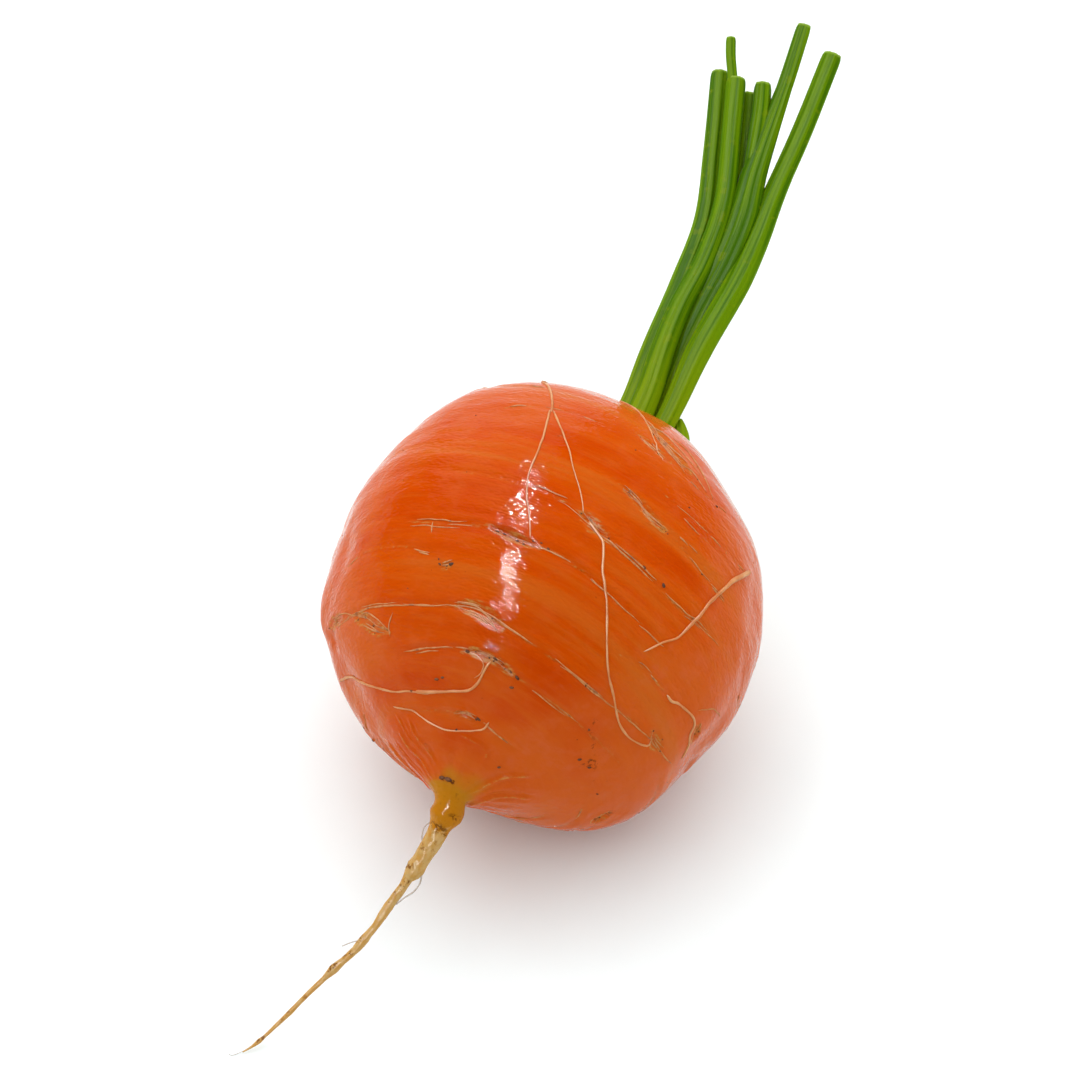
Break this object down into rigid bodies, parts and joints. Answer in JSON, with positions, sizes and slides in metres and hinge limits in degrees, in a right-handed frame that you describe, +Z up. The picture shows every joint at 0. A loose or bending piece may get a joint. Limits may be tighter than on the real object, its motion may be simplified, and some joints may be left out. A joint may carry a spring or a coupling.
{
  "type": "round carrot",
  "caption": "Round orange root vegetable lying on a small flat spot, with a long thin drooping tail root and green leaf stalks cut short at the crown.",
  "frame": {"origin": "centre of the small flat spot under the swollen root", "axes": "+Z up from the surface it rests on, +Y towards the crown and the leaf stalks, +X to the right of someone looking along +Y from the tail"},
  "size_m": [0.0512, 0.1385, 0.0507],
  "materials": {
    "carrot_skin": "satin",
    "fine_root": "matte",
    "leaf_stalk": "satin"
  },
  "bodies": {
    "root": {"taproot": "carrot_skin", "leaf_stalk_left": "leaf_stalk", "leaf_stalk_middle": "leaf_stalk", "leaf_stalk_forked": "leaf_stalk", "leaf_stalk_back": "leaf_stalk", "leaf_stalk_right": "leaf_stalk", "leaf_base_stub": "leaf_stalk"}
  },
  "joints": []
}
